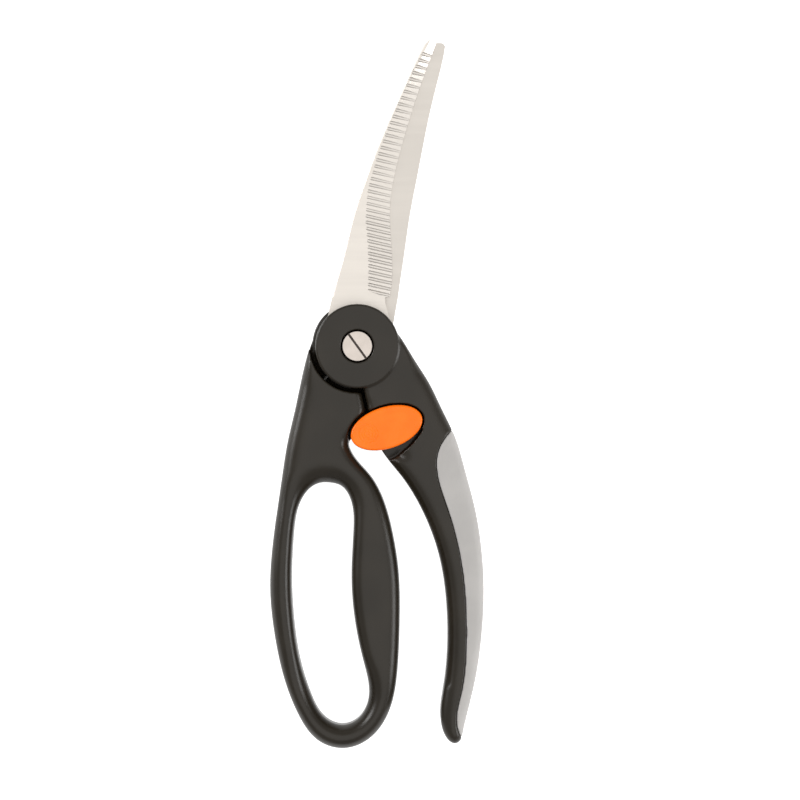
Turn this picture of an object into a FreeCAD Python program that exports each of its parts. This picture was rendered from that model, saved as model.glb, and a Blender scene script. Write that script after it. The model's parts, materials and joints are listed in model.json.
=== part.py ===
"""Poultry shears with a closed finger loop, a padded lever, a thumb lock and an opening spring.

The shears lie flat.  +Z is the pivot axis, +Y runs out along the blades and +X is towards the lever.
The origin is on the pivot axis, in the plane of the back face that the shears rest on.
All sizes are millimetres.
"""
import FreeCAD, Part
import math
import os

# ---- driving sizes: overall -------------------------------------------------------------------
BLADE_REACH = 108.3        # pivot to blade tip
HANDLE_REACH = 141.7       # pivot to the bottom of the finger loop
STACK_HEIGHT = 20.0        # back face to front face, through the pivot
HANDLE_INSET = 0.8         # how far the handles stay below the two round bosses, front and back
MID_GAP = 0.1              # working gap between the two halves
ROUND_GAP = 1.6            # gap between a round boss and the other handle's hollow wall
HOLLOW_SHIFT = (-0.4, 0.1)     # the loop's hollow is a little wider towards its shoulder
LEDGE_HEIGHT = 0.9         # plastic over the rear tang, round the foot of the hollow
LEDGE_CLEARANCE = 0.25
LEDGE_END = -2.0           # the ledge stops at this Y, clear of the opened front blade

# ---- blades -------------------------------------------------------------------------------------
BLADE_THICK = 3.0
TIP_THICK = 2.1
EDGE_THICK = 0.5
SPINE_CHAMFER = 0.5
GRIND_START = 17.5         # where the ground part of the blade starts
BLADE_OVERLAP = 3.2        # how far the closed edges pass each other
RIB_PITCH = 2.2
RIB_CUT_RADIUS = 0.85
RIB_DEPTH = 0.17
RIB_SLOPE = 12.0           # degrees that each rib falls towards the edge
RIB_BACK = 0.4             # each groove starts this far behind the grind line
RIB_RUN_OUT = 2.0          # and runs this far past the edge
GRIND_END_RISE = 2.1       # the grind ends in a slant, this much higher at the grind line
REAR_GRIND_WIDTH = 5.0
REAR_TIP_DROP = 0.9        # the rear blade is this much shorter
FRONT_TIP_ROUND = 1.0
REAR_TIP_ROUND = 1.6
REAR_FLAT_WIDTH = 1.2      # least flat left beside the rear blade's grind
# Each row: share of the ground length, front spine, front grind line, front edge, rear spine.
STATIONS = [
    (0.00, -8.9, 4.2, 11.2, 14.3),
    (0.10, -6.5, 4.4, 12.3, 15.6),
    (0.20, -4.1, 4.2, 11.9, 16.9),
    (0.30, -1.9, 3.4, 11.4, 18.2),
    (0.42, 1.6, 4.2, 12.1, 20.2),
    (0.55, 5.9, 7.6, 14.7, 22.5),
    (0.69, 11.2, 12.4, 18.3, 25.0),
    (0.85, 17.7, 18.9, 23.1, 28.5),
    (1.00, 24.6, 25.8, 28.2, 31.2),
]

# ---- pivot --------------------------------------------------------------------------------------
FRONT_BOSS_RADIUS = 14.8
REAR_BOSS_RADIUS = 14.8
REAR_BOSS_BULGE = (-1.2, 0.7)   # the rear boss also swells towards the loop's shoulder
HEEL_INSET = 0.8           # the blades' round heels stay this far inside the bosses
BOSS_EDGE_ROUND = 0.7
SHANK_RADIUS = 3.5
RUNNING_CLEARANCE = 0.05
SCREW_HEAD_RADIUS = 5.35
SCREW_HEAD_HEIGHT = 3.2
HEAD_BELOW_FACE = 0.6
HEAD_RECESS_CLEARANCE = 0.45
SCREW_SLOT_WIDTH = 0.8
SCREW_SLOT_DEPTH = 1.6
SCREW_SLOT_ANGLE = -54.0
SCREW_HEAD_ROUND = 0.35
THREAD_RADIUS = 2.5
THREAD_END = 0.4           # the thread stops this far inside the nut
WASHER_THICK = 0.6         # height of the coned washer under load
WASHER_SHEET = 0.35
WASHER_EDGE_INSET = 0.1
NUT_FLANGE_RADIUS = 5.5
NUT_FLANGE_HEIGHT = 1.8
NUT_BARREL_RADIUS = 4.2
NUT_BELOW_FACE = 0.5
NUT_EDGE_ROUND = 0.3
SPANNER_HOLE_RADIUS = 0.8
SPANNER_HOLE_OFFSET = 3.9
SPANNER_HOLE_DEPTH = 1.2
BUSH_WALL = 0.9

# ---- opening spring -----------------------------------------------------------------------------
SPRING_WIRE = 1.3
SPRING_MEAN_RADIUS = 10.55
SPRING_PITCH = 1.45
SPRING_TURNS = 2.25
SPRING_CLEARANCE = 0.8
SPRING_FLOAT = 0.15        # under the first turn
POCKET_HEADROOM = 0.25     # over the last turn
LEG_CLEARANCE = 0.1
SPRING_LEG_ANGLE = -135.0
SPRING_LEG_REACH = 19.6
SPRING_ANCHOR_REACH = 17.5
OPENING_ANGLE = 35.0
WINDOW_MARGIN = 6.0        # degrees beyond the swept leg, both ways
WINDOW_HEADROOM = 0.6

# ---- handles ------------------------------------------------------------------------------------
LOOP_EDGE_ROUND = 3.2
LEVER_EDGE_ROUND = 1.8
LEVER_TIP_SHARE = 0.982    # the lever ends a little above the bottom of the loop
LAP_CLEARANCE = 1.0        # between the loop's lap and the lever
# The loop's lap, a flange in the rear half of the height that closes the parting gap from behind.
LAP = [(-2.0, -12.0), (5.6, -13.4), (6.4, -18.0), (6.0, -24.0), (3.4, -28.0), (-2.0, -28.0)]
SHOULDER_DROP = 40.0       # below the pivot, where the two handles part
LOWER_SHOULDER_TOP = -3.0  # the lever's hollow wall ends here, clear of the opened rear blade
GRIP_RIB_INSET = 4.7

# ---- thumb lock ---------------------------------------------------------------------------------
BUTTON_CENTRE = (10.3, -28.65)
BUTTON_HALF_LENGTH = 13.0
BUTTON_HALF_WIDTH = 7.3
BUTTON_TILT = 18.0
BUTTON_BELOW_FACE = 0.05
BUTTON_EDGE_ROUND = 1.4
BUTTON_CLEARANCE = 0.65
LOOP_NOTCH_CLEARANCE = 1.1
LOCK_PIVOT_INSET = 3.5     # from the button's end to its axle
LOCK_SCREW_RADIUS = 1.5
LOCK_THREAD_RADIUS = 1.1
LOCK_THREAD_LENGTH = 3.0
LOCK_HEAD_RADIUS = 2.7
LOCK_HEAD_HEIGHT = 1.6
LOCK_HEAD_INSET = 0.6
LOCK_HEAD_CLEARANCE = 0.3
LOCK_HEAD_ROUND = 0.3
LOCK_SHOULDER_REACH = 0.6  # how far the shoulder goes into the button
LOCK_SLOT_WIDTH = 0.8
LOCK_SLOT_DEPTH = 0.7
WELL_GAP = 0.2             # between the well's floor and the blade under it
HOOK_THICK = 1.2
HOOK_WIDTH = 5.6
HOOK_NOSE = 3.4
HOOK_END_INSET = 1.4       # from the button's thumb end to the hook's end
HOOK_NOSE_WIDTH = 1.2
HOOK_GAP = 0.1
CATCH_RADIUS = 1.2
CATCH_LENGTH = 8.0
CATCH_GAP = 0.3
CATCH_INSET = 3.4          # from the button's thumb end to the pin
CATCH_ASIDE = 3.2
CATCH_STANDING = 2.0       # how much of the pin stands out of the loop handle
BALL_RADIUS = 1.0
BALL_SPRING_WIRE = 0.3
BALL_SPRING_TURNS = 5
BALL_OFFSET = 2.0          # from the button's centre, towards its axle

# ---- derived levels -----------------------------------------------------------------------------
MID = STACK_HEIGHT / 2
REAR_TOP = MID - MID_GAP / 2
FRONT_BOTTOM = MID + MID_GAP / 2
REAR_BLADE_BACK = REAR_TOP - BLADE_THICK
FRONT_BLADE_FACE = FRONT_BOTTOM + BLADE_THICK
HANDLE_BACK = HANDLE_INSET
HANDLE_FRONT = STACK_HEIGHT - HANDLE_INSET
HEAD_TOP = STACK_HEIGHT - HEAD_BELOW_FACE
HEAD_SEAT = HEAD_TOP - SCREW_HEAD_HEIGHT
RECESS_FLOOR = HEAD_SEAT - WASHER_THICK - RUNNING_CLEARANCE
BUSH_RADIUS = SHANK_RADIUS + RUNNING_CLEARANCE + BUSH_WALL
SPRING_LOW = FRONT_BLADE_FACE + SPRING_WIRE / 2 + SPRING_FLOAT
SPRING_HIGH = SPRING_LOW + SPRING_PITCH * SPRING_TURNS
POCKET_TOP = SPRING_HIGH + SPRING_WIRE / 2 + POCKET_HEADROOM
WELL_FLOOR = FRONT_BLADE_FACE + WELL_GAP
HOOK_BACK = WELL_FLOOR + HOOK_GAP
BUTTON_BACK = HOOK_BACK + HOOK_THICK
BUTTON_FRONT = STACK_HEIGHT - BUTTON_BELOW_FACE
SHOULDER_END = BUTTON_BACK + LOCK_SHOULDER_REACH
CATCH_TOP = HOOK_BACK - CATCH_GAP
LOOP_WELL_FLOOR = CATCH_TOP - CATCH_STANDING
LOCK_HEAD_BOTTOM = HANDLE_BACK + LOCK_HEAD_INSET
LOCK_HEAD_TOP = LOCK_HEAD_BOTTOM + LOCK_HEAD_HEIGHT
BALL_CENTRE = HOOK_BACK - RUNNING_CLEARANCE - BALL_RADIUS
BALL_HOLE_FLOOR = REAR_BLADE_BACK
HEEL_RADIUS = FRONT_BOSS_RADIUS - HEEL_INSET
LOCK_PIVOT_OFFSET = BUTTON_HALF_LENGTH - LOCK_PIVOT_INSET
HOOK_END = HOOK_END_INSET - BUTTON_HALF_LENGTH


def vec(x, y, z=0.0):
    return FreeCAD.Vector(x, y, z)


def blade_y(part):
    """Y at a share of the ground length: 0 at the grind start, 1 at the tip."""
    return GRIND_START + part * (BLADE_REACH - GRIND_START)


def handle_y(part):
    """Y at a share of the free handle: 0 where the handles part, 1 at the bottom of the loop."""
    return -(SHOULDER_DROP + part * (HANDLE_REACH - SHOULDER_DROP))


def tip_y(above):
    """Y at a height above the lever's tip."""
    return handle_y(LEVER_TIP_SHARE) + above


def prism(face, low, high):
    face.translate(vec(0, 0, low))
    return face.extrude(vec(0, 0, high - low))


def smooth_face(points):
    """A face inside one closed smooth curve through the points."""
    curve = Part.BSplineCurve()
    curve.interpolate(Points=[vec(x, y) for x, y in points], PeriodicFlag=True)
    return Part.Face(Part.Wire([curve.toShape()]))


def corner_face(points):
    """A face inside straight edges between the points."""
    corners = [vec(x, y) for x, y in points]
    return Part.Face(Part.makePolygon(corners + corners[:1]))


def rod(radius, low, high, at=(0.0, 0.0)):
    return Part.makeCylinder(radius, high - low, vec(at[0], at[1], low))


def tube(inner, outer, low, high, at=(0.0, 0.0)):
    return rod(outer, low, high, at).cut(rod(inner, low, high, at))


def polar(radius, degrees, z=0.0):
    angle = math.radians(degrees)
    return vec(radius * math.cos(angle), radius * math.sin(angle), z)


def flat_edges(shape, level):
    """The edges that lie in the plane z = level."""
    box_of = [(edge, edge.BoundBox) for edge in shape.Edges]
    return [edge for edge, box in box_of if abs(box.ZMin - level) < 0.01 and abs(box.ZMax - level) < 0.01]


def rounded(shape, radius, *levels):
    edges = [edge for level in levels for edge in flat_edges(shape, level)]
    return shape.makeFillet(radius, edges)


def button_face(grow):
    """The button's oval, grown all round by a clearance."""
    major = BUTTON_HALF_LENGTH + grow
    minor = BUTTON_HALF_WIDTH + grow
    oval = Part.Ellipse(vec(0, 0), major, minor).toShape()
    face = Part.Face(Part.Wire([oval]))
    face.rotate(vec(0, 0), vec(0, 0, 1), BUTTON_TILT)
    face.translate(vec(*BUTTON_CENTRE))
    return face


def along_button(distance, aside=0.0):
    """A point on the button, from its centre along its length and across it."""
    tilt = math.radians(BUTTON_TILT)
    x = BUTTON_CENTRE[0] + distance * math.cos(tilt) - aside * math.sin(tilt)
    y = BUTTON_CENTRE[1] + distance * math.sin(tilt) + aside * math.cos(tilt)
    return (x, y)


LOCK_PIVOT = along_button(LOCK_PIVOT_OFFSET)
CATCH_AT = along_button(CATCH_INSET - BUTTON_HALF_LENGTH, CATCH_ASIDE)
BALL_AT = along_button(BALL_OFFSET)


# ---- blades -------------------------------------------------------------------------------------
def thickness(part):
    return BLADE_THICK + part * (TIP_THICK - BLADE_THICK)


def loft(sections):
    wires = []
    for y, corners in sections:
        points = [vec(x, y, z) for x, z in corners]
        wires.append(Part.makePolygon(points + points[:1]))
    return Part.makeLoft(wires, True, False)


def tip_corner(x, y, radius, side):
    """What rounding takes off a blade's corner; side is -1 for a corner on the left, 1 on the right."""
    centre = (x - side * radius, y - radius)
    reach = radius + 2
    left = centre[0] if side > 0 else centre[0] - reach
    block = Part.makeBox(reach, reach, STACK_HEIGHT, vec(left, centre[1], 0))
    return block.cut(rod(radius, 0, STACK_HEIGHT, centre))


def front_blade_body():
    sections = []
    for part, spine, grind, edge, _ in STATIONS:
        face = FRONT_BOTTOM + thickness(part)
        corners = [(spine, FRONT_BOTTOM), (edge, FRONT_BOTTOM), (edge, FRONT_BOTTOM + EDGE_THICK),
                   (grind, face), (spine + SPINE_CHAMFER, face), (spine, face - SPINE_CHAMFER)]
        sections.append((blade_y(part), corners))
    return loft(sections).cut(tip_corner(STATIONS[-1][1], BLADE_REACH, FRONT_TIP_ROUND, -1))


def rear_blade_body():
    sections = []
    for part, _, _, front_edge, spine in STATIONS:
        back = REAR_TOP - thickness(part)
        edge = front_edge - BLADE_OVERLAP
        grind = min(edge + REAR_GRIND_WIDTH, spine - REAR_FLAT_WIDTH)
        corners = [(spine, REAR_TOP), (edge, REAR_TOP), (edge, REAR_TOP - EDGE_THICK),
                   (grind, back), (spine - SPINE_CHAMFER, back), (spine, back + SPINE_CHAMFER)]
        sections.append((blade_y(part), corners))
    tip = BLADE_REACH - REAR_TIP_DROP
    beyond = Part.makeBox(20, 10, STACK_HEIGHT, vec(STATIONS[-1][1] - 5, tip, 0))
    corner = tip_corner(STATIONS[-1][4] - 0.2, tip, REAR_TIP_ROUND, 1)
    return loft(sections).cut([beyond, corner])


def between(part, column):
    """A blade line's X at a share of the ground length, read between the stations."""
    for low, high in zip(STATIONS, STATIONS[1:]):
        if low[0] <= part <= high[0]:
            share = (part - low[0]) / (high[0] - low[0])
            return low[column] + share * (high[column] - low[column])
    return STATIONS[-1][column]


def rib_cutters():
    """Round-bottomed grooves across the ground face of the front blade."""
    cutters = []
    count = int((BLADE_REACH - GRIND_START) / RIB_PITCH) - 1
    slope = math.tan(math.radians(RIB_SLOPE))
    for index in range(1, count):
        part = index * RIB_PITCH / (BLADE_REACH - GRIND_START)
        start_x = between(part, 2) - RIB_BACK
        end_x = between(part, 3) + RIB_RUN_OUT
        fall = between(part, 3) - start_x
        start_z = FRONT_BOTTOM + thickness(part) + RIB_CUT_RADIUS - RIB_DEPTH
        drop = thickness(part) - EDGE_THICK
        run = end_x - start_x
        start = vec(start_x, blade_y(part), start_z)
        direction = vec(run, -run * slope, -drop * run / fall)
        cutters.append(Part.makeCylinder(RIB_CUT_RADIUS, direction.Length, start, direction))
    return cutters


def front_blade():
    ground = front_blade_body().cut(rib_cutters())
    slant = (STATIONS[0][2] - 0.5, GRIND_START + GRIND_END_RISE)
    heel = corner_face([(STATIONS[0][1], GRIND_START), slant, (9.7, GRIND_START), (9.8, 15.4), (11.8, 8.0),
                        (-12.0, 4.0)])
    tang = corner_face([(5.0, -13.0), (13.4, -4.6), (22.0, -13.0), (28.0, -27.0), (26.8, -39.0),
                        (22.6, -39.5), (23.8, -28.0), (19.0, -19.0)])
    plate = prism(heel, FRONT_BOTTOM, FRONT_BLADE_FACE)
    plate = plate.fuse(rod(HEEL_RADIUS, FRONT_BOTTOM, FRONT_BLADE_FACE))
    plate = plate.fuse(prism(tang, FRONT_BOTTOM, FRONT_BLADE_FACE))
    blade = ground.fuse(plate)
    pivot_bore = rod(SHANK_RADIUS + RUNNING_CLEARANCE, 0, STACK_HEIGHT)
    lock_bore = rod(LOCK_SCREW_RADIUS + RUNNING_CLEARANCE, 0, STACK_HEIGHT, LOCK_PIVOT)
    return blade.cut([pivot_bore, lock_bore]).removeSplitter()


def rear_blade():
    heel = corner_face([(14.3, GRIND_START), (8.0, GRIND_START), (4.0, 10.0), (0.0, 0.0), (12.4, 7.0)])
    tang = corner_face([(-13.4, -4.6), (-2.0, -14.0), (-7.6, -27.0), (-12.2, -39.5), (-20.0, -37.5),
                        (-17.4, -22.0)])
    plate = prism(heel, REAR_BLADE_BACK, REAR_TOP)
    plate = plate.fuse(rod(HEEL_RADIUS, REAR_BLADE_BACK, REAR_TOP))
    plate = plate.fuse(prism(tang, REAR_BLADE_BACK, REAR_TOP))
    blade = rear_blade_body().fuse(plate)
    return blade.cut(rod(SHANK_RADIUS, 0, STACK_HEIGHT)).removeSplitter()


# ---- handles ------------------------------------------------------------------------------------
def loop_outline():
    return smooth_face([
        (-9.2, 8.0), (-14.2, 5.4), (-16.6, 0.4), (-18.4, -5.8), (-19.9, -12.2), (-21.9, -21.8),
        (-24.5, -33.0),
        (-26.9, handle_y(0.08)), (-28.7, handle_y(0.20)), (-30.2, handle_y(0.32)),
        (-30.8, handle_y(0.45)), (-29.3, handle_y(0.60)), (-26.2, handle_y(0.745)),
        (-21.0, handle_y(0.88)), (-13.6, handle_y(0.975)), (-4.4, handle_y(1.0)),
        (5.2, handle_y(0.958)), (11.4, handle_y(0.865)), (14.1, handle_y(0.73)),
        (14.9, handle_y(0.56)), (14.5, handle_y(0.385)), (12.6, handle_y(0.262)),
        (9.4, handle_y(0.145)), (4.3, handle_y(0.052)), (-0.4, handle_y(0.0)),
        (-2.6, -36.4), (-3.1, -33.9), (-1.4, -32.0), (1.2, -30.0), (2.9, -26.4), (2.9, -23.0),
        (2.0, -18.6), (1.1, -14.0), (0.2, -6.0), (-3.2, 3.0)])


def loop_opening():
    return smooth_face([
        (-10.4, handle_y(0.078)), (-16.0, handle_y(0.092)), (-20.2, handle_y(0.145)),
        (-22.6, handle_y(0.26)), (-23.3, handle_y(0.40)), (-22.5, handle_y(0.555)),
        (-20.2, handle_y(0.70)), (-16.4, handle_y(0.815)), (-11.4, handle_y(0.895)),
        (-5.0, handle_y(0.919)), (0.8, handle_y(0.892)), (4.0, handle_y(0.822)),
        (2.2, handle_y(0.70)), (-0.6, handle_y(0.573)), (-2.1, handle_y(0.40)),
        (-1.4, handle_y(0.24)), (-2.4, handle_y(0.137)), (-5.4, handle_y(0.092))])


def loop_handle(blade):
    limb = prism(loop_outline().cut(loop_opening()), HANDLE_BACK, HANDLE_FRONT)
    limb = rounded(limb, LOOP_EDGE_ROUND, HANDLE_BACK, HANDLE_FRONT)
    limb = limb.fuse(prism(corner_face(LAP), HANDLE_BACK, REAR_TOP))
    hollow = rod(FRONT_BOSS_RADIUS + ROUND_GAP, REAR_TOP + LEDGE_HEIGHT, STACK_HEIGHT, HOLLOW_SHIFT)
    inner_hollow = rod(FRONT_BOSS_RADIUS + LEDGE_CLEARANCE, REAR_TOP, STACK_HEIGHT)
    beyond_ledge = Part.makeBox(2 * STACK_HEIGHT, STACK_HEIGHT, STACK_HEIGHT,
                                vec(-STACK_HEIGHT, LEDGE_END, REAR_TOP))
    deep_hollow = rod(FRONT_BOSS_RADIUS + ROUND_GAP, REAR_TOP, STACK_HEIGHT, HOLLOW_SHIFT)
    body = limb.cut([hollow, inner_hollow, deep_hollow.common(beyond_ledge)])
    boss = rod(REAR_BOSS_RADIUS, 0, REAR_TOP).fuse(rod(REAR_BOSS_RADIUS, 0, REAR_TOP, REAR_BOSS_BULGE))
    body = body.fuse(rounded(boss.removeSplitter(), BOSS_EDGE_ROUND, 0))
    nut_recess = rod(NUT_FLANGE_RADIUS, 0, NUT_BELOW_FACE + NUT_FLANGE_HEIGHT)
    nut_barrel = rod(NUT_BARREL_RADIUS, 0, REAR_BLADE_BACK)
    leg_hole = Part.makeCylinder(SPRING_WIRE / 2 + LEG_CLEARANCE, SPRING_LEG_REACH + 4 * LEG_CLEARANCE,
                                 vec(0, 0, SPRING_LOW), polar(1, SPRING_LEG_ANGLE))
    leg_hole = leg_hole.cut(rod(HEEL_RADIUS, 0, STACK_HEIGHT))
    notch = prism(button_face(LOOP_NOTCH_CLEARANCE), LOOP_WELL_FLOOR, STACK_HEIGHT)
    catch_hole = rod(CATCH_RADIUS, CATCH_TOP - CATCH_LENGTH, STACK_HEIGHT, CATCH_AT)
    bore = rod(SHANK_RADIUS, REAR_BLADE_BACK, REAR_TOP)
    return body.cut([blade, bore, nut_recess, nut_barrel, leg_hole, notch, catch_hole])


def lever_outline():
    return smooth_face([
        (7.4, 9.0), (13.0, 5.8), (17.1, 0.2), (20.9, -6.0), (25.1, -12.6), (29.6, -21.8),
        (34.2, -31.4), (37.9, handle_y(0.035)), (41.2, handle_y(0.158)), (43.5, handle_y(0.29)),
        (44.5, handle_y(0.46)), (43.7, handle_y(0.61)), (41.2, handle_y(0.775)),
        (38.3, tip_y(9.05)), (37.1, tip_y(3.66)), (36.1, tip_y(0.9)),
        (34.2, tip_y(0.0)), (31.7, tip_y(1.6)), (29.9, tip_y(5.2)),
        (29.2, tip_y(10.37)), (30.3, handle_y(0.79)),
        (31.6, handle_y(0.67)), (31.4, handle_y(0.50)), (28.6, handle_y(0.325)),
        (23.0, handle_y(0.178)), (15.4, handle_y(0.055)), (9.0, -37.4), (6.4, -32.5), (4.9, -28.0),
        (3.9, -23.0), (3.0, -18.6), (2.1, -14.0), (1.4, -7.0), (2.6, 3.6)])


GRIP_LINE = [
    (33.4, -29.4), (30.4, -33.0), (28.2, -38.0), (27.9, handle_y(0.02)), (29.0, handle_y(0.085)),
    (31.9, handle_y(0.17)), (35.1, handle_y(0.28)), (37.3, handle_y(0.40)), (38.3, handle_y(0.53)),
    (38.2, handle_y(0.68)), (36.7, handle_y(0.80)), (34.9, tip_y(8.34)), (36.4, tip_y(2.54))]
RIB_LINE = [(35.8, handle_y(0.085)), (39.0, handle_y(0.22)), (41.0, handle_y(0.40)),
            (40.8, handle_y(0.60)), (38.4, handle_y(0.775)), (36.4, handle_y(0.845))]


def open_curve(points):
    curve = Part.BSplineCurve()
    curve.interpolate([vec(x, y) for x, y in points])
    return curve.toShape()


def grip_region():
    """Everything on the outer side of the line where the soft grip meets the hard handle."""
    far = 60.0
    first = vec(*GRIP_LINE[0])
    last = vec(*GRIP_LINE[-1])
    corners = [last, vec(far, last.y), vec(far, first.y), first]
    edges = [open_curve(GRIP_LINE)] + [Part.makeLine(a, b) for a, b in zip(corners, corners[1:])]
    return Part.Face(Part.Wire(edges))


def grip_rib():
    """The rib of the hard handle that runs inside the soft grip."""
    inner = 24.0
    first = vec(*RIB_LINE[0])
    last = vec(*RIB_LINE[-1])
    corners = [last, vec(inner, last.y), vec(inner, first.y), first]
    edges = [open_curve(RIB_LINE)] + [Part.makeLine(a, b) for a, b in zip(corners, corners[1:])]
    return prism(Part.Face(Part.Wire(edges)), HANDLE_BACK + GRIP_RIB_INSET, HANDLE_FRONT - GRIP_RIB_INSET)


def lever_limb():
    limb = prism(lever_outline(), HANDLE_BACK, HANDLE_FRONT)
    return rounded(limb, LEVER_EDGE_ROUND, HANDLE_BACK, HANDLE_FRONT)


def grip_skin():
    return prism(grip_region(), 0, STACK_HEIGHT).cut(grip_rib())


def soft_grip(limb):
    return limb.common(grip_skin())


def spring_pocket():
    wall = SPRING_WIRE / 2 + SPRING_CLEARANCE
    ring = tube(SPRING_MEAN_RADIUS - wall, SPRING_MEAN_RADIUS + wall, FRONT_BOTTOM, POCKET_TOP)
    anchor_angle = SPRING_LEG_ANGLE + 360 * SPRING_TURNS
    anchor = Part.makeCylinder(SPRING_WIRE / 2 + LEG_CLEARANCE, SPRING_ANCHOR_REACH + 2 * LEG_CLEARANCE,
                               vec(0, 0, SPRING_HIGH), polar(1, anchor_angle))
    anchor = anchor.cut(rod(SPRING_MEAN_RADIUS, 0, STACK_HEIGHT))
    sweep = OPENING_ANGLE + 2 * WINDOW_MARGIN
    height = SPRING_WIRE + WINDOW_HEADROOM
    window = Part.makeCylinder(FRONT_BOSS_RADIUS + 1, height, vec(0, 0, FRONT_BLADE_FACE), vec(0, 0, 1),
                               sweep)
    window.rotate(vec(0, 0), vec(0, 0, 1), SPRING_LEG_ANGLE - OPENING_ANGLE - WINDOW_MARGIN)
    window = window.cut(rod(SPRING_MEAN_RADIUS, 0, STACK_HEIGHT))
    return [ring, anchor, window]


def lock_recess():
    """The hollow beside the button that it swings into, and the well that it sits in."""
    rim = Part.Arc(vec(12.6, -39.6), vec(18.9, -34.8), vec(23.3, -29.0)).toShape()
    corners = [vec(23.3, -29.0), vec(15.0, -27.0), vec(2.0, -34.0), vec(6.0, -42.0), vec(12.6, -39.6)]
    edges = [rim] + [Part.makeLine(a, b) for a, b in zip(corners, corners[1:])]
    hollow = prism(Part.Face(Part.Wire(edges)), WELL_FLOOR, STACK_HEIGHT)
    return [hollow, prism(button_face(BUTTON_CLEARANCE), WELL_FLOOR, STACK_HEIGHT)]


def lever_handle(limb, blade):
    body = limb.cut(grip_skin())
    lower_hollow = rod(REAR_BOSS_RADIUS + ROUND_GAP, 0, FRONT_BOTTOM)
    lower_corner = Part.makeBox(40, 20, FRONT_BOTTOM, vec(0, LOWER_SHOULDER_TOP, 0))
    lap_space = prism(corner_face(LAP).makeOffset2D(LAP_CLEARANCE), 0, FRONT_BOTTOM)
    body = body.cut([lower_hollow, lower_corner, lap_space])
    boss = rounded(rod(FRONT_BOSS_RADIUS, FRONT_BOTTOM, STACK_HEIGHT), BOSS_EDGE_ROUND, STACK_HEIGHT)
    body = body.fuse(boss)
    head_recess = rod(SCREW_HEAD_RADIUS + HEAD_RECESS_CLEARANCE, RECESS_FLOOR, STACK_HEIGHT)
    bush_bore = rod(BUSH_RADIUS, 0, STACK_HEIGHT)
    screw_hole = rod(LOCK_SCREW_RADIUS + RUNNING_CLEARANCE, 0, STACK_HEIGHT, LOCK_PIVOT)
    screw_recess = rod(LOCK_HEAD_RADIUS + LOCK_HEAD_CLEARANCE, 0, LOCK_HEAD_TOP, LOCK_PIVOT)
    ball_hole = rod(BALL_RADIUS + 2 * RUNNING_CLEARANCE, BALL_HOLE_FLOOR, STACK_HEIGHT, BALL_AT)
    cutters = [blade, head_recess, bush_bore, screw_hole, screw_recess, ball_hole]
    return body.cut(cutters + spring_pocket() + lock_recess())


# ---- pivot hardware -----------------------------------------------------------------------------
def pivot_screw():
    head = rounded(rod(SCREW_HEAD_RADIUS, HEAD_SEAT, HEAD_TOP), SCREW_HEAD_ROUND, HEAD_TOP)
    slot = Part.makeBox(4 * SCREW_HEAD_RADIUS, SCREW_SLOT_WIDTH, SCREW_SLOT_DEPTH + 1,
                        vec(-2 * SCREW_HEAD_RADIUS, -SCREW_SLOT_WIDTH / 2, HEAD_TOP - SCREW_SLOT_DEPTH))
    slot.rotate(vec(0, 0), vec(0, 0, 1), SCREW_SLOT_ANGLE)
    shank = rod(SHANK_RADIUS, REAR_BLADE_BACK, HEAD_SEAT)
    thread = rod(THREAD_RADIUS, NUT_BELOW_FACE + THREAD_END, REAR_BLADE_BACK)
    return head.cut(slot).fuse([shank, thread]).removeSplitter()


def pivot_nut():
    top = NUT_BELOW_FACE + NUT_FLANGE_HEIGHT
    flange = rounded(rod(NUT_FLANGE_RADIUS, NUT_BELOW_FACE, top), NUT_EDGE_ROUND, NUT_BELOW_FACE)
    barrel = rod(NUT_BARREL_RADIUS, top, REAR_BLADE_BACK)
    nut = flange.fuse(barrel).removeSplitter()
    holes = [rod(SPANNER_HOLE_RADIUS, 0, NUT_BELOW_FACE + SPANNER_HOLE_DEPTH, (x, 0))
             for x in (-SPANNER_HOLE_OFFSET, SPANNER_HOLE_OFFSET)]
    return nut.cut([rod(THREAD_RADIUS, 0, STACK_HEIGHT)] + holes)


def spring_washer():
    """A shallow cone that keeps the blades pressed together."""
    low = RECESS_FLOOR + RUNNING_CLEARANCE
    inner = SHANK_RADIUS + WASHER_EDGE_INSET
    outer = SCREW_HEAD_RADIUS - WASHER_EDGE_INSET
    corners = [vec(inner, 0, HEAD_SEAT - WASHER_SHEET), vec(inner, 0, HEAD_SEAT),
               vec(outer, 0, low + WASHER_SHEET), vec(outer, 0, low)]
    section = Part.Face(Part.makePolygon(corners + corners[:1]))
    return section.revolve(vec(0, 0), vec(0, 0, 1), 360)


def pivot_bush():
    return tube(SHANK_RADIUS + RUNNING_CLEARANCE, BUSH_RADIUS, FRONT_BLADE_FACE, RECESS_FLOOR)


def wire_helix(pitch, turns, radius, wire, low, start_angle):
    """One solid round wire wound upwards from z = low, starting at an angle."""
    spine = Part.makeHelix(pitch, pitch * turns, radius)
    spine.translate(vec(0, 0, low))
    normal = vec(0, 1, pitch / (2 * math.pi * radius))
    section = Part.Wire([Part.makeCircle(wire / 2, vec(radius, 0, low), normal)])
    coil = Part.Wire(spine.Edges).makePipeShell([section], True, True)
    coil.rotate(vec(0, 0), vec(0, 0, 1), start_angle)
    return coil


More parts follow.
